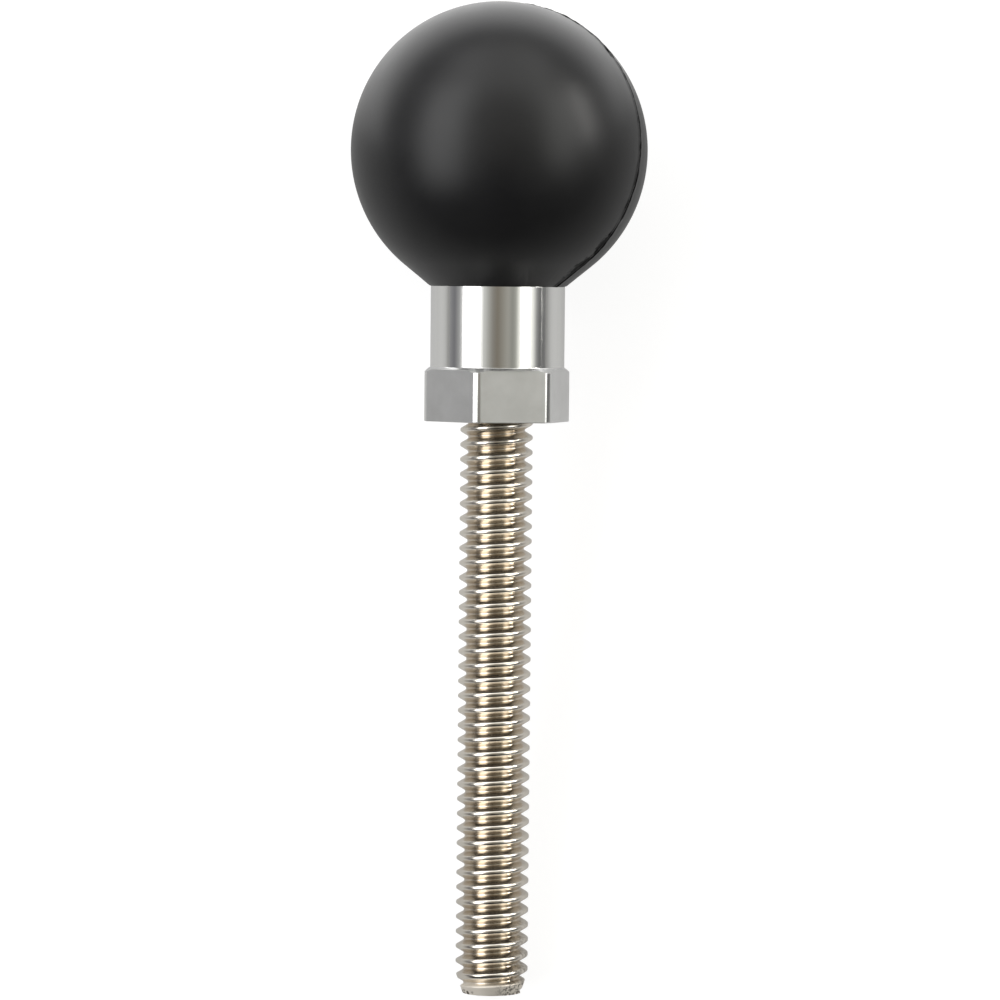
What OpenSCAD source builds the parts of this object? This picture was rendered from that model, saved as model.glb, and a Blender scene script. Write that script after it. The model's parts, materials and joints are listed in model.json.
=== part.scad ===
// Threaded ball adapter: a rubber ball moulded onto a turned post, with a hexagon
// for the spanner below it and a long stud screwed into the post's lower end.
// All sizes are in millimetres. Each piece is drawn upright about one axis, with
// the ball's centre at the origin and the stud pointing down. It is then laid down
// the way the adapter comes to rest on a table, on the ball and on the last full
// crest of the thread.

/* [Rubber ball] */
// Diameter of the ball
ball_d = 25.4; // [22:0.1:40]
// Thickness of the rubber over the core
rubber_wall = 3.7; // [2.5:0.1:4.5]
// How far the rim of the skirt stands outside the ball's own sphere
skirt_proud = 0.3; // [0.15:0.01:0.8]
// Step from the side of the collar out to the rim of the skirt
skirt_lip = 0.1; // [0:0.01:0.4]

/* [Core and neck, inside the ball] */
// Width of the groove round the core, which keys the rubber
groove_w = 2.4; // [1:0.1:4]
// Depth of that groove
groove_depth = 1.2; // [0.4:0.1:2]
// Diameter of the flat on top of the core, where the bar was parted off
part_off_d = 6; // [2:0.1:10]
// Diameter of the neck between the core and the collar
neck_d = 9.4; // [8:0.1:10.5]

/* [Collar and hexagon] */
// Diameter of the round collar
collar_d = 11.5; // [10.2:0.1:12.4]
// Length of the collar, from the rubber to the hexagon
collar_len = 6.95; // [3:0.05:15]
// Diameter of the round bar that the post is turned from
bar_d = 12.7; // [12.5:0.05:14]
// Width of the hexagon across its flats
hex_af = 11.25; // [10.9:0.05:12.2]
// Height of the hexagon
hex_h = 4.65; // [3:0.05:12]
// Slope of the chamfer on the hexagon's upper corners, from the level
hex_chamfer_angle = 34; // [15:1:45]
// How far below the chamfer's upper edge the milled flats stop
flat_stop = 0.2; // [0.05:0.01:0.5]
// Width of the small chamfer round the hexagon's foot
foot_chamfer = 0.05; // [0.02:0.01:0.3]

/* [Tapped hole] */
// Length of the stud that is screwed into the post
stud_in = 12; // [6:0.1:13]
// Depth of the hole past the end of the stud, up to the drill's cone
hole_spare = 1.2; // [0.4:0.1:2]
// Diameter of the countersink at the mouth of the hole
mouth_d = 7; // [6.6:0.1:8]

/* [Stud] */
// Length of the stud below the hexagon
stud_out = 49.2; // [20:0.1:90]
// Outer diameter of the thread, over its crests
thread_d = 6.22; // [5.6:0.01:6.4]
// Pitch of the thread, at 20 threads to the inch
pitch = 1.27; // [0.9:0.01:1.4]
// Length of the lead chamfer on the stud's tip
tip_len = 1.75; // [0.8:0.05:2.5]
// Diameter of the stud's end face
tip_d = 5; // [4.6:0.05:5.3]
// Width of the chamfer on the end inside the post
inner_chamfer = 0.4; // [0.1:0.05:0.8]

/* [Placing] */
// Turn of the hexagon about the axis, from a flat that faces straight up
hex_turn = 13.8; // [0:0.1:60]

/* [Hidden] */
$fn = 96;

// Overshoot of a cutting shape past the face that it cuts
cut = 1;
// How far the skirt's slope runs inside the sphere, so that the two surfaces cross
tuck = 0.03;
// Turn of the ball about the axis, so that it lies on a flat of its own facets
facet_turn = 45;

// The ball and its skirt, a cone that leaves the sphere almost along its tangent
ball_r = ball_d / 2;
collar_r = collar_d / 2;
rim_r = collar_r + skirt_lip;
rim_reach = ball_r + skirt_proud;
shoulder_z = -sqrt(pow(rim_reach, 2) - pow(rim_r, 2));
slope_reach = ball_r - tuck;
slope_end_angle = asin(rim_r / rim_reach) + acos(slope_reach / rim_reach);
slope_end_r = slope_reach * sin(slope_end_angle);
slope_end_z = -slope_reach * cos(slope_end_angle);

// The core
core_r = ball_r - rubber_wall;
core_top_z = sqrt(pow(core_r, 2) - pow(part_off_d / 2, 2));

// The collar and the hexagon
bar_r = bar_d / 2;
hex_top_z = shoulder_z - collar_len;
hex_foot_z = hex_top_z - hex_h;
hex_chamfer_h = (bar_r - collar_r) * tan(hex_chamfer_angle);

// The 60 degree thread: flats of an eighth of the pitch on the crests and of a
// quarter in the roots
crest_r = thread_d / 2;
crest_flat = pitch / 8;
root_flat = pitch / 4;
flank_run = (pitch - crest_flat - root_flat) / 2;
thread_depth = flank_run / tan(30);
root_r = crest_r - thread_depth;
first_crest = pitch / 4;
thread_count = ceil((stud_out - first_crest) / pitch) + 1;
// Inside the post the thread is drawn as a plain fit at its pitch diameter
seat_r = crest_r - thread_depth * (pitch / 2 - crest_flat) / (2 * flank_run);
drill_angle = 118;
drill_cone_h = seat_r / tan(drill_angle / 2);
mouth_depth = mouth_d / 2 - seat_r;

// Distances along the stud, from the hexagon's foot, at which the crests lie and
// the chamfer on the tip starts, and the slopes of the chamfer and of the flanks
crests = [for (i = [0 : thread_count - 1]) first_crest + i * pitch];
chamfer_start = stud_out - tip_len;
chamfer_slope = (crest_r - tip_d / 2) / tip_len;
flank_slope = thread_depth / flank_run;

// The slope at which the adapter lies: the ball touches the table straight under
// its centre, and the stud's lowest crest touches it too. Each crest has an outer
// corner, at its far edge or where the chamfer cuts it, and a slope at which that
// corner would touch. The adapter comes to rest at the least of these slopes.
function blank_r(s) = crest_r - max(0, s - chamfer_start) * chamfer_slope;
function cut_corner(near) =
    near < chamfer_start ? chamfer_start
    : (near * flank_slope + chamfer_start * chamfer_slope) / (flank_slope + chamfer_slope);
function corner(s) =
    s + crest_flat / 2 < chamfer_start ? s + crest_flat / 2 : cut_corner(s - crest_flat / 2);
function touch_tilt(reach, r) = asin(ball_r / norm([reach, r])) - atan2(r, reach);
rest_tilt = min([for (s = crests) touch_tilt(corner(s) - hex_foot_z, blank_r(corner(s)))]);
// Place of the ball's centre along the table that centres the whole adapter
tip_z = hex_foot_z - stud_out;
tip_y = tip_z * cos(rest_tilt) - tip_d / 2 * sin(rest_tilt);
ball_y = -(ball_r + tip_y) / 2;

// Lays an upright piece down, with the stud towards -Y and the upright's front up
module laid_down() {
    translate([0, ball_y, ball_r])
        rotate([-(90 - rest_tilt), 0, 0])
            children();
}

// Everything of the post that is inside the rubber. The neck is drawn on down into
// the collar, so that the post is one solid.
module core_and_neck() {
    difference() {
        union() {
            intersection() {
                sphere(r = core_r);
                translate([0, 0, -core_r])
                    cylinder(r = core_r + cut, h = core_r + core_top_z);
            }
            translate([0, 0, hex_top_z])
                cylinder(d = neck_d, h = -hex_top_z);
        }
        rotate_extrude()
            translate([core_r - groove_depth, -groove_w / 2])
                square([groove_depth + cut, groove_w]);
    }
}

// The collar and the round bar below it, as turned, with the chamfer between them
module turned_blank() {
    rotate_extrude()
        polygon([
            [0, hex_foot_z],
            [bar_r - foot_chamfer, hex_foot_z],
            [bar_r, hex_foot_z + foot_chamfer],
            [bar_r, hex_top_z - hex_chamfer_h],
            [collar_r, hex_top_z],
            [collar_r, shoulder_z],
            [0, shoulder_z]
        ]);
}

// What the mill takes off the bar: six flats, which leave a narrow strip of the
// bar's own surface at each corner of the hexagon, and end in small ledges in the
// chamfer above them
module milled_flats() {
    for (i = [0 : 5])
        rotate([0, 0, hex_turn + 30 + i * 60])
            translate([hex_af / 2, -bar_r, hex_foot_z - cut])
                cube([bar_r, bar_d, hex_h + cut - flat_stop]);
}

// The blind hole for the stud, with its countersunk mouth and its drilled end
module stud_hole() {
    hole_depth = stud_in + hole_spare;
    translate([0, 0, hex_foot_z]) {
        translate([0, 0, -cut])
            cylinder(r = seat_r, h = hole_depth + cut);
        translate([0, 0, -cut])
            cylinder(r1 = mouth_d / 2 + cut, r2 = seat_r, h = mouth_depth + cut);
        translate([0, 0, hole_depth])
            cylinder(r1 = seat_r, r2 = 0, h = drill_cone_h);
    }
}

// Half the section of the stud's thread, measured down from the hexagon's foot
module thread_section() {
    flanks = [for (s = crests) each [
        [root_r, -(s - crest_flat / 2 - flank_run)],
        [crest_r, -(s - crest_flat / 2)],
        [crest_r, -(s + crest_flat / 2)],
        [root_r, -(s + crest_flat / 2 + flank_run)]
    ]];
    far_end = crests[thread_count - 1] + crest_flat / 2 + flank_run;
    polygon(concat([[0, -(first_crest - crest_flat / 2 - flank_run)]], flanks, [[0, -far_end]]));
}

// Half the outline of the plain blank that the thread is rolled on, past the seat
module blank_section() {
    polygon([
        [0, pitch],
        [crest_r + cut, pitch],
        [crest_r + cut, -chamfer_start + cut / chamfer_slope],
        [tip_d / 2, -stud_out],
        [0, -stud_out]
    ]);
}

module rubber_ball() {
    color("#2c2c2d")
        laid_down()
            rotate([0, 0, facet_turn])
                difference() {
                    union() {
                        sphere(r = ball_r);
                        translate([0, 0, shoulder_z])
                            cylinder(r1 = rim_r, r2 = slope_end_r, h = slope_end_z - shoulder_z);
                    }
                    translate([0, 0, -ball_r - cut])
                        cylinder(r = ball_r, h = shoulder_z + ball_r + cut);
                    core_and_neck();
                }
}

module hex_post() {
    color("#b8b9b6")
        laid_down()
            difference() {
                union() {
                    core_and_neck();
                    turned_blank();
                }
                milled_flats();
                stud_hole();
            }
}

module threaded_stud() {
    seat_start = first_crest - crest_flat / 2 - flank_run;
    color("#a99f90")
        laid_down()
            translate([0, 0, hex_foot_z]) {
                rotate_extrude()
                    intersection() {
                        thread_section();
                        blank_section();
                    }
                translate([0, 0, -seat_start])
                    cylinder(r = seat_r, h = stud_in - inner_chamfer + seat_start);
                translate([0, 0, stud_in - inner_chamfer])
                    cylinder(r1 = seat_r, r2 = seat_r - inner_chamfer, h = inner_chamfer);
            }
}

rubber_ball();
hex_post();
threaded_stud();
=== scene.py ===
import json
from functools import partial
from math import acos, asin, cos, pi, radians, sin, sqrt, tan

import bmesh
import bpy
import numpy as np
from mathutils import Matrix, Vector, noise


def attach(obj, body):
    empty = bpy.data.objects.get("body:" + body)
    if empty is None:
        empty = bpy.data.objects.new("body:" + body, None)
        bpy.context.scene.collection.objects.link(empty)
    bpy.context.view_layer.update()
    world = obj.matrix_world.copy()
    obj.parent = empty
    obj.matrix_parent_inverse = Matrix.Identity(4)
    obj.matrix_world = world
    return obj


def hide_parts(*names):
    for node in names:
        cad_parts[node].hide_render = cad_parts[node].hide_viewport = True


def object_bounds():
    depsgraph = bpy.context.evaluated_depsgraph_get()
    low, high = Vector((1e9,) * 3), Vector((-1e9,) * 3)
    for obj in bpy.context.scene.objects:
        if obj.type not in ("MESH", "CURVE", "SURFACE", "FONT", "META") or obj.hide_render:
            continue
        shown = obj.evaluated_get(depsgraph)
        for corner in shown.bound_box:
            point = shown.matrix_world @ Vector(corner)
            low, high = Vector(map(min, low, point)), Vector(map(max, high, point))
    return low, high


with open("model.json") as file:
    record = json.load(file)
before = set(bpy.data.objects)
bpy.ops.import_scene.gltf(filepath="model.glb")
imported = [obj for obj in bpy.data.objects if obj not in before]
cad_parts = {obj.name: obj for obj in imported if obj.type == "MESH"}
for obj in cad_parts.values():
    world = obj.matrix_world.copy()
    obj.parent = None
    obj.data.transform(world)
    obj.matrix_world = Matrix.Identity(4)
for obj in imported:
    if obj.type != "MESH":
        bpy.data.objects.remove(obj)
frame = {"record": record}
cad_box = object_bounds()


# The post: one piece of aluminium bar, turned to a round core, a neck and a polished
# collar, drilled and countersunk from below, and then milled to a hexagon whose corners
# keep narrow strips of the bar. The rubber hides the core and the neck.
mm = 0.001
core_r = 9 * mm
core_flat_r = 3 * mm
core_groove_r = 7.8 * mm
core_groove_half = 1.2 * mm
neck_r = 4.7 * mm
shoulder_z = -11.609 * mm
collar_r = 5.75 * mm
hex_top_z = -18.559 * mm
foot_z = -23.209 * mm
bar_r = 6.35 * mm
hex_half_af = 5.625 * mm
hex_turn = radians(13.8)
bar_chamfer = radians(34)
flat_stop_z = hex_top_z - 0.2 * mm
foot_chamfer = 0.05 * mm
edge_break = 0.03 * mm
edge_round = 0.05 * mm
corner_blend = 0.07 * mm
seat_r = 2.6976 * mm
hole_depth = 13.2 * mm
drill_point_half = radians(59)
drill_cone_h = seat_r / tan(drill_point_half)
mouth_r = 3.5 * mm
mouth_depth = mouth_r - seat_r
merge_gap = 0.0005 * mm


def rounded(corners, steps=3):
    """The path through (radius, height, rounding) corners, each cut by a small curve."""
    longest = 0.45
    path = []
    for place, (r, z, reach) in enumerate(corners):
        here = Vector((r, z))
        if reach == 0:
            path.append(here)
            continue
        back = Vector(corners[place - 1][:2]) - here
        ahead = Vector(corners[place + 1][:2]) - here
        start = here + back.normalized() * min(reach, longest * back.length)
        end = here + ahead.normalized() * min(reach, longest * ahead.length)
        for step in range(steps + 1):
            t = step / steps
            path.append(start * (1 - t) ** 2 + here * 2 * t * (1 - t) + end * t ** 2)
    return path


def round_solid(name, angles, outline):
    """A closed solid about the upright axis. outline(angle) is its half section there,
    from the axis at the lower end to the axis at the upper end."""
    shape = bmesh.new()
    columns = [
        [shape.verts.new((p.x * sin(a), -p.x * cos(a), p.y)) for p in outline(a)]
        for a in angles
    ]
    for left, right in zip(columns, columns[1:] + columns[:1]):
        for low in range(len(left) - 1):
            shape.faces.new((left[low], right[low], right[low + 1], left[low + 1]))
    bmesh.ops.remove_doubles(shape, verts=shape.verts, dist=merge_gap)
    bmesh.ops.recalc_face_normals(shape, faces=shape.faces)
    for face in shape.faces:
        face.smooth = True
    mesh = bpy.data.meshes.new(name)
    shape.to_mesh(mesh)
    shape.free()
    piece = bpy.data.objects.new(name, mesh)
    bpy.context.scene.collection.objects.link(piece)
    return piece


def core_outline():
    """Half section of the core, from the neck to the flat where the bar was parted off."""
    groove_angle = asin(core_groove_half / core_r)
    top_angle = acos(core_flat_r / core_r)
    lower = np.linspace(-acos(neck_r / core_r), -groove_angle, num=16)
    upper = np.linspace(groove_angle, top_angle, num=24)
    below = [Vector((core_r * cos(t), core_r * sin(t))) for t in lower]
    above = [Vector((core_r * cos(t), core_r * sin(t))) for t in upper]
    groove = [Vector((core_groove_r, z)) for z in (-core_groove_half, core_groove_half)]
    return below + groove + above + [Vector((0, core_r * sin(top_angle)))]


def corner_offset(angle):
    """How far an angle is from the middle of the nearest flat of the hexagon."""
    return (angle - hex_turn + pi / 6) % (pi / 3) - pi / 6


def hexagon_wall(angle):
    """Radius of the hexagon's wall: the flat, blended into the strip at the corner."""
    flat_r = hex_half_af / cos(corner_offset(angle))
    overlap = max(corner_blend - abs(flat_r - bar_r), 0) / corner_blend
    return min(flat_r, bar_r) - overlap ** 2 * corner_blend / 4


def post_outline(angle):
    """Half section of the post, from the end of the drilled hole round to the core."""
    wall = hexagon_wall(angle)
    foot_edge = edge_break + max(0, wall - bar_r + foot_chamfer)
    wall_top_z = min(flat_stop_z, hex_top_z - (wall - collar_r) * tan(bar_chamfer))
    ledge_r = collar_r + (hex_top_z - wall_top_z) / tan(bar_chamfer)
    return rounded([
        (0, foot_z + hole_depth + drill_cone_h, 0),
        (seat_r, foot_z + hole_depth, 0),
        (seat_r, foot_z + mouth_depth, edge_round / 2),
        (mouth_r, foot_z, edge_round / 2),
        (wall - foot_edge, foot_z, edge_round / 2),
        (wall, foot_z + foot_edge, edge_round / 2),
        (wall, wall_top_z, edge_round / 2),
        (ledge_r, wall_top_z, edge_round / 2),
        (collar_r, hex_top_z, edge_round),
        (collar_r, shoulder_z, edge_round),
        (neck_r, shoulder_z, 0),
    ]) + core_outline()


# Cuts round the post: few over each flat, and close together over each corner
flat_end = radians(26)
next_flat = radians(34)
flat_cuts = np.linspace(-flat_end, flat_end, num=26, endpoint=False)
corner_cuts = np.linspace(flat_end, next_flat, num=32, endpoint=False)
post_angles = [
    hex_turn + side * pi / 3 + cut
    for side in range(6)
    for cut in (*flat_cuts, *corner_cuts)
]
post = round_solid("post", post_angles, post_outline)

# Each piece is made upright, with the ball's centre at the origin, the stud pointing down
# and the front facing -Y, and is then laid down on its ball and thread, front up, where
# the frame has it. The finishes turn the places on a piece back to the upright ones.
mounts = {mount["name"]: mount for mount in frame["record"]["mounts"]}
axis_up = Vector(mounts["ball"]["axis"]).normalized()
sideways = Vector((1, 0, 0))
laid_down = Matrix((sideways, axis_up.cross(sideways), axis_up)).transposed().to_4x4()
laid_down.translation = Vector(mounts["ball"]["pos_m"])
upright = laid_down.inverted()


def new_finish(name):
    """A new material, its tree, and the sockets of its shader."""
    material = bpy.data.materials.new(name)
    material.use_nodes = True
    tree = material.node_tree
    return material, tree, tree.nodes["Principled BSDF"].inputs


def plug(socket, value):
    """Links a value that comes from another node, or sets a plain one."""
    if isinstance(value, bpy.types.NodeSocket):
        socket.id_data.links.new(value, socket)
    else:
        socket.default_value = value


def add_node(tree, kind, sockets, **settings):
    """A new node with its settings. Its sockets are given by their name or place."""
    node = tree.nodes.new(kind)
    for key, value in settings.items():
        setattr(node, key, value)
    for key, value in sockets.items():
        plug(node.inputs[key], value)
    return node


def reckon(tree, operation, *values, clamp=False):
    """A sum, a product or another result of the values."""
    sockets = dict(enumerate(values))
    settings = {"operation": operation, "use_clamp": clamp}
    return add_node(tree, "ShaderNodeMath", sockets, **settings).outputs[0]


def ranged(tree, value, start=0, end=1, low=0, high=1):
    """Runs from low to high while the value runs from start to end."""
    sockets = {"Value": value, "From Min": start, "From Max": end, "To Min": low, "To Max": high}
    return add_node(tree, "ShaderNodeMapRange", sockets).outputs[0]


def blend(tree, share, first, second):
    """The colour between two others."""
    sockets = {0: share, 6: first, 7: second}
    return add_node(tree, "ShaderNodeMix", sockets, data_type="RGBA").outputs[2]


def clouds(tree, places, scale, detail, roughness=0.5):
    """Uneven patches, smaller with a larger scale."""
    sockets = {"Vector": places, "Scale": scale, "Detail": detail, "Roughness": roughness}
    return add_node(tree, "ShaderNodeTexNoise", sockets).outputs["Fac"]


def bumps(tree, height, depth, strength):
    """The shading of a surface that rises and falls with the height."""
    sockets = {"Height": height, "Distance": depth, "Strength": strength}
    return add_node(tree, "ShaderNodeBump", sockets).outputs[0]


def upright_places(tree, stretch=(1, 1, 1)):
    """Places on the piece in the upright frame, stretched along its own axes."""
    own = tree.nodes.new("ShaderNodeTexCoord").outputs["Object"]
    sockets = {"Vector": own, "Location": upright.translation, "Rotation": upright.to_euler()}
    stood_up = add_node(tree, "ShaderNodeMapping", sockets).outputs[0]
    sockets = {"Vector": stood_up, "Scale": stretch}
    return add_node(tree, "ShaderNodeMapping", sockets).outputs[0]


def lathe_marks(tree, width, depth, strength):
    """Fine rings left by the tool, that wander a little on their way round."""
    wandering = 40
    places = upright_places(tree, (wandering, wandering, 1 / width))
    rings = clouds(tree, places, scale=1, detail=3, roughness=0.6)
    return bumps(tree, rings, depth, strength)


turned_finish, tree, shader = new_finish("turned_aluminium")
handling = clouds(tree, upright_places(tree), scale=350, detail=4)
plug(shader["Base Color"], (0.90, 0.90, 0.885, 1))
plug(shader["Metallic"], 1)
plug(shader["Roughness"], ranged(tree, handling, low=0.09, high=0.15))
plug(shader["Normal"], lathe_marks(tree, width=0.09 * mm, depth=0.002 * mm, strength=0.35))

milled_finish, tree, shader = new_finish("milled_aluminium")
patches = clouds(tree, upright_places(tree), scale=420, detail=5, roughness=0.55)
plug(shader["Base Color"], blend(tree, patches, (0.74, 0.74, 0.73, 1), (1, 1, 1, 1)))
plug(shader["Metallic"], 1)
plug(shader["Roughness"], 0.28)
plug(shader["Normal"], lathe_marks(tree, width=0.12 * mm, depth=0.004 * mm, strength=0.5))

# The mill leaves its finish on the flats, and on the narrow band just above them
upright_limit = 0.3
flat_least_r = hex_half_af * 0.99
band_low_z = flat_stop_z - 0.25 * mm
for finish in (turned_finish, milled_finish):
    post.data.materials.append(finish)
for face in post.data.polygons:
    centre = face.center
    reach = sqrt(centre.x ** 2 + centre.y ** 2)
    on_wall = abs(face.normal.z) < upright_limit and foot_z + foot_chamfer < centre.z < hex_top_z
    on_flat = on_wall and flat_least_r < reach < bar_r - corner_blend / 4
    on_band = reach > collar_r + edge_round / 2 and band_low_z < centre.z < hex_top_z
    if on_flat or on_band:
        face.material_index = 1
post.data.transform(laid_down)
post.modifiers.new("even_shading", "WEIGHTED_NORMAL")
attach(post, "root")
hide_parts("hex_post")


# The ball: black rubber moulded onto the core, with a short tapered skirt that runs down
# to the collar. The two halves of the mould leave a fine line round it, torn here and
# there, with a thin flash beside it, and the rubber has a satin skin.
ball_r = 12.7 * mm
rim_r = 5.85 * mm
rim_round = 0.06 * mm
rim_reach = sqrt(rim_r ** 2 + shoulder_z ** 2)
slope_end = asin(rim_r / rim_reach) + acos(ball_r / rim_reach)
skin_rows = 150
ball_columns = 180


def ball_outline(angle):
    """Half section of the ball: up along the core inside it, and back over its skin."""
    skin_angles = np.linspace(slope_end, pi, num=skin_rows)
    skin = [Vector((ball_r * sin(t), -ball_r * cos(t))) for t in skin_angles]
    rim = rounded([
        (neck_r, shoulder_z, 0),
        (rim_r, shoulder_z, rim_round),
        (ball_r * sin(slope_end), -ball_r * cos(slope_end), 0),
    ])
    return core_outline()[::-1] + rim + skin


ball_angles = np.linspace(0, 2 * pi, num=ball_columns, endpoint=False)
ball = round_solid("ball", ball_angles, ball_outline)

# The mould line lies in a plane through the ball's centre. Loops are cut beside that
# plane: the middle one is sunk, the next ones stand up as flash, and the outer ones carry
# the painted shade of the torn spots, which are listed by their height and reach.
seam_turn = radians(70)
seam_lean = radians(-6.5)
seam_half = 0.15 * mm
seam_depth = 0.13 * mm
flash_half = 0.26 * mm
flash_height = 0.055 * mm
raised_half = flash_half / 2 + seam_half
tears = {
    11.1 * mm: 0.9 * mm,
    8.2 * mm: 1.1 * mm,
    0.2 * mm: 0.7 * mm,
    -7.8 * mm: 1.5 * mm,
    -9.8 * mm: 1.8 * mm,
}
seam_normal = Vector((cos(seam_turn) * cos(seam_lean),
                      sin(seam_turn) * cos(seam_lean),
                      sin(seam_lean)))
torn_loops = [flash_half * step for step in (-5, -3, -2)]
seam_loops = [-flash_half, -seam_half, 0, seam_half, flash_half]


def line_strength(place):
    """How strong the mould line is: it comes and goes, and is heavier near the collar and
    over the right shoulder of the ball."""
    slow = noise.noise(place / (1.3 * mm))
    quick = noise.noise(place / (0.4 * mm))
    up = place.z / ball_r
    heavier = 1 + 0.5 * max(0, -up)
    if place.x > 0:
        heavier += 2 * max(0, up - 0.4) * min(1, place.x / (3 * mm))
    return heavier * (0.6 + 0.4 * slow + 0.35 * quick)


shape = bmesh.new()
shape.from_mesh(ball.data)
for offset in torn_loops + seam_loops:
    bmesh.ops.bisect_plane(
        shape, geom=shape.verts[:] + shape.edges[:] + shape.faces[:], dist=merge_gap,
        plane_co=seam_normal * offset, plane_no=seam_normal)
seam_layer = shape.verts.layers.float.new("seam_shade")
torn_layer = shape.verts.layers.float.new("torn_spot_shade")
inside_r = ball_r - 0.5 * mm
for vertex in shape.verts:
    place = vertex.co.copy()
    if place.length < inside_r:
        continue
    off_seam = abs(place.dot(seam_normal))
    if place.x > 0 and place.dot(seam_normal) < seam_half:
        for height, reach in tears.items():
            apart = sqrt((place.z - height) ** 2 + off_seam ** 2)
            vertex[torn_layer] = max(vertex[torn_layer], 1 - apart / reach)
    if off_seam > raised_half:
        continue
    strength = line_strength(place)
    if off_seam < seam_half / 2:
        vertex.co = place * (1 - seam_depth * strength / place.length)
        vertex[seam_layer] = 1
    else:
        vertex.co = place * (1 + flash_height * strength / place.length)
        vertex[seam_layer] = min(1, 0.9 * strength)
bmesh.ops.recalc_face_normals(shape, faces=shape.faces)
shape.to_mesh(ball.data)
shape.free()

skin_gloss = 0.4
rubber_finish, tree, shader = new_finish("black_rubber")
places = upright_places(tree)
mottle = clouds(tree, places, scale=260, detail=4, roughness=0.6)
shreds = clouds(tree, places, scale=2600, detail=3, roughness=0.65)
grain = clouds(tree, places, scale=5200, detail=3, roughness=0.55)
line = add_node(tree, "ShaderNodeAttribute", {}, attribute_name="seam_shade").outputs["Fac"]
tear = add_node(tree, "ShaderNodeAttribute", {}, attribute_name="torn_spot_shade").outputs["Fac"]
# Painted shade: the mould line, its flash and the torn spots are near black with almost no
# sheen, for the shade in the groove and the tears
torn_spot_shade = ranged(tree, reckon(tree, "ADD", tear, shreds), start=0.88, end=1)
seam_shade = reckon(tree, "MAXIMUM", line, torn_spot_shade)
skin_tone = blend(tree, mottle, (0.008, 0.008, 0.009, 1), (0.014, 0.014, 0.015, 1))
plug(shader["Base Color"], blend(tree, seam_shade, skin_tone, (0.002, 0.002, 0.002, 1)))
plug(shader["Roughness"], ranged(tree, mottle, low=0.32, high=0.42))
plug(shader["Specular IOR Level"], skin_gloss)
plug(shader["Specular IOR Level"], ranged(tree, seam_shade, low=skin_gloss, high=0.05))
plug(shader["Normal"], bumps(tree, grain, depth=0.01 * mm, strength=0.35))

ball.data.materials.append(rubber_finish)
ball.data.transform(laid_down)
ball.modifiers.new("even_shading", "WEIGHTED_NORMAL")
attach(ball, "root")
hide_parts("rubber_ball")


# The stud: a length of stainless threaded rod, cut off and chamfered at its tip, and
# screwed into the post. The thread is rolled, right-handed, with slightly rounded
# crests, and it is followed row by row along its own helix.
stud_sizes = {
    "Pitch": 1.27 * mm,
    "Crest radius": 3.11 * mm,
    "Root radius": 2.4226 * mm,
    "Crest flat": 0.28 * mm,
    "Edge rounding": 0.14 * mm,
    "First crest": 0.42 * mm,
    "Seat radius": seat_r,
    "Seat end": -12 * mm,
    "Seat chamfer": 0.4 * mm,
    "Mouth depth": mouth_depth,
    "Length": 49.2 * mm,
    "Tip radius": 2.5 * mm,
    "Tip chamfer slope": 0.61 / 1.75,
    "Foot height": foot_z,
}
flank_half = radians(30)
stud_columns = 72
rows_a_pitch = 16
seat_rows = 4
tip_z = foot_z - stud_sizes["Length"]

# The roots are painted a darker brown than the crests, as painted shade in the thread's hollows,
# with uneven wear over both, and the sawn end is pale
stud_finish, tree, shader = new_finish("rolled_stainless")
places = upright_places(tree)
on_x, _, on_z = add_node(tree, "ShaderNodeSeparateXYZ", {0: places}).outputs
flattened = upright_places(tree, (1, 1, 0))
off_axis = add_node(tree, "ShaderNodeVectorMath", {0: flattened}, operation="LENGTH")
drift = clouds(tree, upright_places(tree, (1, 1, 1.6)), scale=500, detail=4)
uneven = reckon(tree, "MULTIPLY_ADD", drift, 0.5, -0.25)
# Painted shade: the tone darkens towards the roots by the distance from the axis, for the shade
# in the thread's hollows
raised = ranged(tree, off_axis.outputs["Value"], start=2.45 * mm, end=3.05 * mm)
wear_and_root_shade = reckon(tree, "ADD", raised, uneven, clamp=True)
at_end = ranged(tree, on_z, start=tip_z + 1.2 * mm, end=tip_z + 0.8 * mm)
pale = reckon(tree, "MAXIMUM", wear_and_root_shade, at_end)
steel_tone = blend(tree, pale, (0.65, 0.57, 0.465, 1), (0.86, 0.81, 0.73, 1))

# Stained specks where the cut tore the steel, at the tip's right and on the threads next
# to it, and burrs at the left of its edge
pits = clouds(tree, places, scale=3000, detail=3, roughness=0.7)
specks = ranged(tree, pits, start=0.48, end=0.56)
on_right = ranged(tree, on_x, start=0.2 * mm, end=1.5 * mm, high=0.9)
near_tip = ranged(tree, on_z, start=tip_z + 9.2 * mm, end=tip_z + 2.2 * mm, high=0.5)
torn_right = reckon(tree, "MULTIPLY", on_right, reckon(tree, "MAXIMUM", at_end, near_tip))
on_left = ranged(tree, on_x, start=-1.5 * mm, end=-2 * mm, high=2)
at_edge = ranged(tree, on_z, start=tip_z + 0.4 * mm, end=tip_z + 0.2 * mm)
torn_left = reckon(tree, "MULTIPLY", on_left, at_edge)
torn_here = reckon(tree, "MAXIMUM", torn_right, torn_left)
stain = reckon(tree, "MULTIPLY", specks, torn_here, clamp=True)
shine = ranged(tree, drift, low=0.15, high=0.27)
plug(shader["Base Color"], blend(tree, stain, steel_tone, (0.08, 0.065, 0.05, 1)))
plug(shader["Metallic"], ranged(tree, at_end, low=1, high=0.72))
plug(shader["Roughness"], reckon(tree, "MULTIPLY_ADD", at_end, 0.4, shine))
plug(shader["Normal"], lathe_marks(tree, width=0.06 * mm, depth=0.003 * mm, strength=0.4))

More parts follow.
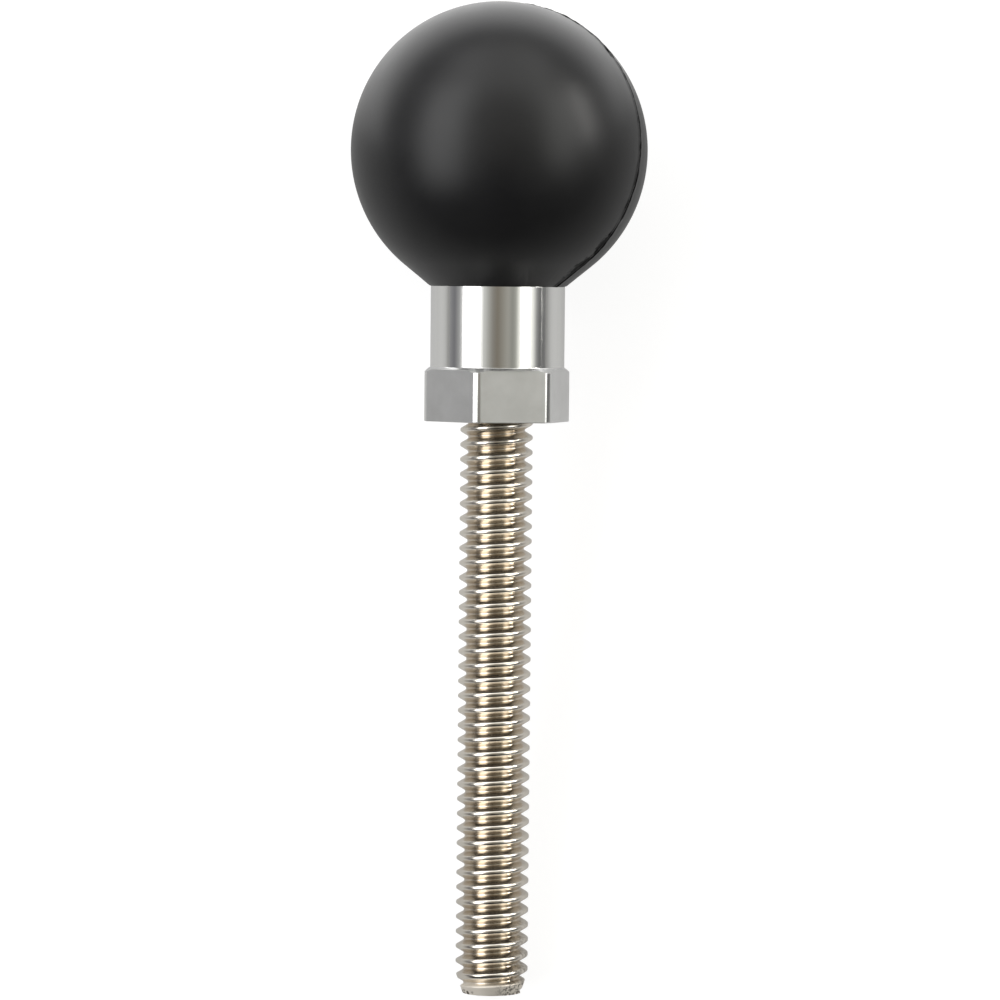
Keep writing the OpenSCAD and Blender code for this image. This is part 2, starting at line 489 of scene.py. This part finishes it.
thread = bpy.data.node_groups.new("rolled_thread", "GeometryNodeTree")
thread.is_modifier = True
thread.interface.new_socket("Geometry", in_out="OUTPUT", socket_type="NodeSocketGeometry")
for label in stud_sizes:
    thread.interface.new_socket(label, in_out="INPUT", socket_type="NodeSocketFloat")
for label in ("Columns", "Rows"):
    thread.interface.new_socket(label, in_out="INPUT", socket_type="NodeSocketInt")
thread.interface.new_socket("Material", in_out="INPUT", socket_type="NodeSocketMaterial")
given = thread.nodes.new("NodeGroupInput").outputs

work_out = partial(reckon, thread)
plus, minus = partial(work_out, "ADD"), partial(work_out, "SUBTRACT")
times, over = partial(work_out, "MULTIPLY"), partial(work_out, "DIVIDE")
least, most = partial(work_out, "MINIMUM"), partial(work_out, "MAXIMUM")
soft_least, soft_most = partial(work_out, "SMOOTH_MIN"), partial(work_out, "SMOOTH_MAX")


def choose(number, values):
    """The value whose place in the list is that number."""
    node = thread.nodes.new("GeometryNodeIndexSwitch")
    node.data_type = "FLOAT"
    while len(node.index_switch_items) < len(values):
        node.index_switch_items.new()
    for socket, value in zip(node.inputs, [number] + values):
        plug(socket, value)
    return node.outputs[0]


# A flat grid is rolled up: its width goes once round the stud, and its rows go down
grid = add_node(thread, "GeometryNodeMeshGrid", {
    "Size X": 1,
    "Size Y": 1,
    "Vertices X": plus(given["Columns"], 1),
    "Vertices Y": plus(given["Rows"], 1),
})
position = thread.nodes.new("GeometryNodeInputPosition").outputs[0]
grid_x, grid_y, _ = add_node(thread, "ShaderNodeSeparateXYZ", {0: position}).outputs
turn = plus(grid_x, 0.5)
row = work_out("ROUND", times(plus(grid_y, 0.5), given["Rows"]))

# Distance below the hexagon's foot: rows follow the helix, and stop at both ends
thread_start = times(given["Mouth depth"], -1)
thread_run = plus(minus(given["Length"], thread_start), given["Pitch"])
share = over(minus(row, seat_rows), minus(given["Rows"], seat_rows + 1))
helix = minus(times(share, thread_run), times(turn, given["Pitch"]))
below = least(given["Length"], most(thread_start, plus(thread_start, helix)))

# Radius of the thread there: 60 degree flanks between the crest and the root
turns = over(minus(below, given["First crest"]), given["Pitch"])
wave = work_out("FRACT", plus(plus(turns, turn), 0.5))
off_crest = times(work_out("ABSOLUTE", minus(wave, 0.5)), given["Pitch"])
down_flank = minus(off_crest, times(given["Crest flat"], 0.5))
flank = minus(given["Crest radius"], over(down_flank, tan(flank_half)))
rooted = soft_most(flank, given["Root radius"], given["Edge rounding"])
crested = soft_least(rooted, given["Crest radius"], given["Edge rounding"])

# The blank that the thread is rolled on is chamfered at the tip and narrows in the mouth
to_tip = minus(given["Length"], below)
blank = plus(given["Tip radius"], times(to_tip, given["Tip chamfer slope"]))
in_mouth = plus(given["Seat radius"], minus(below, thread_start))
trimmed = soft_least(least(crested, in_mouth), blank, times(given["Edge rounding"], 0.5))

# The first rows are the plain seat in the hole, and the last row closes the tip
kind = least(row, seat_rows)
seat_end_r = minus(given["Seat radius"], given["Seat chamfer"])
seat_start = plus(given["Seat end"], given["Seat chamfer"])
row_r = choose(kind, [0, seat_end_r, given["Seat radius"], given["Seat radius"], trimmed])
row_below = choose(kind, [given["Seat end"], given["Seat end"], seat_start, thread_start, below])
radius = times(row_r, work_out("LESS_THAN", row, minus(given["Rows"], 0.5)))
angle = times(turn, 2 * pi)
rolled_up = add_node(thread, "ShaderNodeCombineXYZ", {
    0: times(radius, work_out("SINE", angle)),
    1: times(radius, times(work_out("COSINE", angle), -1)),
    2: minus(given["Foot height"], row_below),
})
wrapped = add_node(thread, "GeometryNodeSetPosition", {
    "Geometry": grid.outputs["Mesh"], "Position": rolled_up.outputs[0]})
closed = add_node(thread, "GeometryNodeMergeByDistance", {
    "Geometry": wrapped.outputs[0], "Distance": 0.002 * mm})
realized = add_node(thread, "GeometryNodeRealizeInstances", {0: closed.outputs[0]})
painted = add_node(thread, "GeometryNodeSetMaterial", {
    "Geometry": realized.outputs[0], "Material": given["Material"]})
add_node(thread, "NodeGroupOutput", {0: painted.outputs[0]})

rod = bpy.data.objects.new("rod", bpy.data.meshes.new("rod"))
bpy.context.scene.collection.objects.link(rod)
maker = rod.modifiers.new("rolled_thread", "NODES")
maker.node_group = thread
pitches = (stud_sizes["Length"] + mouth_depth) / stud_sizes["Pitch"] + 1
wanted = {
    **stud_sizes,
    "Columns": stud_columns,
    "Rows": round(pitches * rows_a_pitch) + seat_rows + 1,
    "Material": stud_finish,
}
for item in thread.interface.items_tree:
    if item.in_out == "INPUT":
        maker[item.identifier] = wanted[item.name]
bpy.context.view_layer.update()
seen = rod.evaluated_get(bpy.context.evaluated_depsgraph_get())
stud = bpy.data.objects.new("stud", bpy.data.meshes.new_from_object(seen))
bpy.data.objects.remove(rod)
bpy.context.scene.collection.objects.link(stud)

shape = bmesh.new()
shape.from_mesh(stud.data)
bmesh.ops.dissolve_degenerate(shape, edges=shape.edges, dist=merge_gap)
bmesh.ops.recalc_face_normals(shape, faces=shape.faces)
for face in shape.faces:
    face.smooth = True
shape.to_mesh(stud.data)
shape.free()
stud.data.transform(laid_down)
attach(stud, "root")
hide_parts("threaded_stud")


# The floor: a wide pale sheet under the adapter. The camera sees it white, with the
# adapter's shadow on it. In the metal and rubber it shows a painted reflection: a glow that
# is pale close by, darker to both sides of the stud and white beyond the ball.
floor_r = 2.5
floor_z = cad_box[0].z
floor_white = 0.82
spot_centre = (-6 * mm, 15 * mm, floor_z)
towards_ball = (-0.1, 0.99, 0)
shape = bmesh.new()
bmesh.ops.create_circle(shape, cap_ends=True, segments=96, radius=floor_r)
floor_mesh = bpy.data.meshes.new("floor")
shape.to_mesh(floor_mesh)
shape.free()
floor_mesh.transform(Matrix.Translation((0, 0, floor_z)))
floor = bpy.data.objects.new("floor", floor_mesh)
bpy.context.scene.collection.objects.link(floor)

floor_finish, tree, shader = new_finish("white_sheet")
place = tree.nodes.new("ShaderNodeTexCoord").outputs["Object"]
away = add_node(tree, "ShaderNodeVectorMath", {0: place, 1: spot_centre},
                operation="DISTANCE").outputs["Value"]
along = add_node(tree, "ShaderNodeVectorMath", {0: place, 1: towards_ball},
                 operation="DOT_PRODUCT").outputs["Value"]
aside = reckon(tree, "ABSOLUTE", add_node(tree, "ShaderNodeSeparateXYZ", {0: place}).outputs[0])
# Painted reflection: this glow is seen only by reflections, and its strength is set by place on
# the floor
near = ranged(tree, away, start=30 * mm, end=150 * mm, low=0.28, high=0)
by_stud = ranged(tree, aside, start=20 * mm, end=36 * mm, low=1.1, high=0.25)
by_post = ranged(tree, along, start=-6 * mm, end=7 * mm)
pale = reckon(tree, "MULTIPLY", near, reckon(tree, "MAXIMUM", by_stud, by_post))
beyond = ranged(tree, along, start=36 * mm, end=52 * mm, low=0, high=1.45)
not_far = ranged(tree, away, start=80 * mm, end=200 * mm, low=1, high=0)
lit = reckon(tree, "ADD", pale, reckon(tree, "MULTIPLY", beyond, not_far))
ray = tree.nodes.new("ShaderNodeLightPath").outputs
mirrored = reckon(tree, "MAXIMUM", ray["Is Glossy Ray"], ray["Is Transmission Ray"])
in_metal = reckon(tree, "MULTIPLY", mirrored, lit)
glow = reckon(tree, "MULTIPLY_ADD", ray["Is Camera Ray"], floor_white, in_metal)
plug(shader["Base Color"], (0.3, 0.3, 0.3, 1))
plug(shader["Roughness"], 0.9)
plug(shader["Specular IOR Level"], 0)
plug(shader["Emission Color"], (1, 1, 1, 1))
plug(shader["Emission Strength"], glow)
floor_mesh.materials.append(floor_finish)


# The room: walls that run from dark at the sides to white beside the lamps, with a brown
# one behind the camera, and that grow dark on the stud's side. The metal shows them
# between the lamps.
world = bpy.data.worlds.new("studio")
bpy.context.scene.world = world
world.use_nodes = True
sky = world.node_tree
direction = sky.nodes.new("ShaderNodeTexCoord").outputs["Generated"]
to_right, to_ball, upward = add_node(sky, "ShaderNodeSeparateXYZ", {0: direction}).outputs
around = reckon(sky, "ARCTAN2", to_right, upward)

# Tones by the angle from the front, in degrees towards the right
wall_tones = {
    -90: (0.26, 0.26, 0.27),
    -79: (0.16, 0.16, 0.17),
    -68: (0.36, 0.36, 0.36),
    -60: (0.9, 0.9, 0.9),
    -28: (0.93, 0.93, 0.91),
    -18: (0.52, 0.52, 0.49),
    -8: (0.29, 0.275, 0.245),
    0: (0.24, 0.215, 0.175),
    18: (0.42, 0.41, 0.37),
    26: (0.31, 0.31, 0.28),
    32: (0.42, 0.42, 0.38),
    38: (1.05, 1.05, 0.98),
    62: (1.05, 1.05, 1),
    71: (0.25, 0.25, 0.25),
    78: (0.11, 0.11, 0.11),
    90: (0.16, 0.16, 0.16),
}
walls = add_node(sky, "ShaderNodeValToRGB", {0: ranged(sky, around, start=-pi, end=pi)})
stops = walls.color_ramp.elements
while len(stops) < len(wall_tones):
    stops.new(0.5)
for stop, (degrees, tone) in zip(stops, wall_tones.items()):
    stop.position = (degrees / 180 + 1) / 2
    stop.color = (*tone, 1)
dimming = ranged(sky, to_ball, start=-0.55, end=-0.05, low=0.06, high=1)
shaded = add_node(sky, "ShaderNodeVectorMath", {0: walls.outputs[0], "Scale": dimming},
                  operation="SCALE")
plug(sky.nodes["Background"].inputs[0], shaded.outputs[0])


# The lamps: tall softboxes left and right of the camera, a narrow strip beside the right
# one for the bright edge of the collar, and a wide lamp beyond the ball's top.
def softbox(name, azimuth, elevation, width, height, radiance, colour=(1, 1, 1), distance=1.6):
    """A square lamp that faces the ball, placed by its angles from the upright front."""
    a, e = radians(azimuth), radians(elevation)
    away = Vector((sin(a) * cos(e), -cos(a) * cos(e), sin(e)))
    data = bpy.data.lights.new(name, "AREA")
    data.shape = "RECTANGLE"
    data.size = 2 * distance * tan(radians(width / 2))
    data.size_y = 2 * distance * tan(radians(height / 2))
    data.energy = radiance * pi * data.size * data.size_y
    data.color = colour
    lamp = bpy.data.objects.new(name, data)
    across = Vector((0, 0, 1)).cross(away).normalized()
    turned = Matrix((across, away.cross(across), away)).transposed().to_4x4()
    turned.translation = away * distance
    lamp.matrix_world = laid_down @ turned
    bpy.context.scene.collection.objects.link(lamp)


softbox("left_softbox", azimuth=-46, elevation=10, width=31, height=70, radiance=2.3)
softbox("right_softbox", azimuth=49, elevation=16, width=18, height=52, radiance=1.6,
        colour=(1, 0.99, 0.97))
softbox("edge_softbox", azimuth=74, elevation=23, width=9, height=34, radiance=8.5,
        colour=(1, 0.985, 0.95))
softbox("top_softbox", azimuth=0, elevation=64, width=60, height=44, radiance=1.1)


# The camera: a long lens, level with the ball's lower half and turned down a little, as
# the photograph was taken.
camera_away = 441.9 * mm
camera_rise = -10.44 * mm
lens_px = 5154.4
photo_px = 1000
pitch_down = radians(2.529)
pan = radians(0.045)
roll = radians(0.546)
look = Vector((sin(pan) * cos(pitch_down), cos(pan) * cos(pitch_down), -sin(pitch_down)))
right = look.cross(Vector((0, 0, 1))).normalized()
held = Matrix((right, right.cross(look), -look)).transposed() @ Matrix.Rotation(roll, 3, "Z")
camera_place = held.to_4x4()
camera_place.translation = Vector((0, -camera_away, camera_rise))
camera_data = bpy.data.cameras.new("camera")
camera_data.sensor_width = 36
camera_data.lens = camera_data.sensor_width * lens_px / photo_px
camera_data.clip_start = 0.01
camera = bpy.data.objects.new("camera", camera_data)
camera.matrix_world = laid_down @ camera_place
bpy.context.scene.collection.objects.link(camera)
bpy.context.scene.camera = camera
bpy.context.scene.view_settings.view_transform = "Standard"
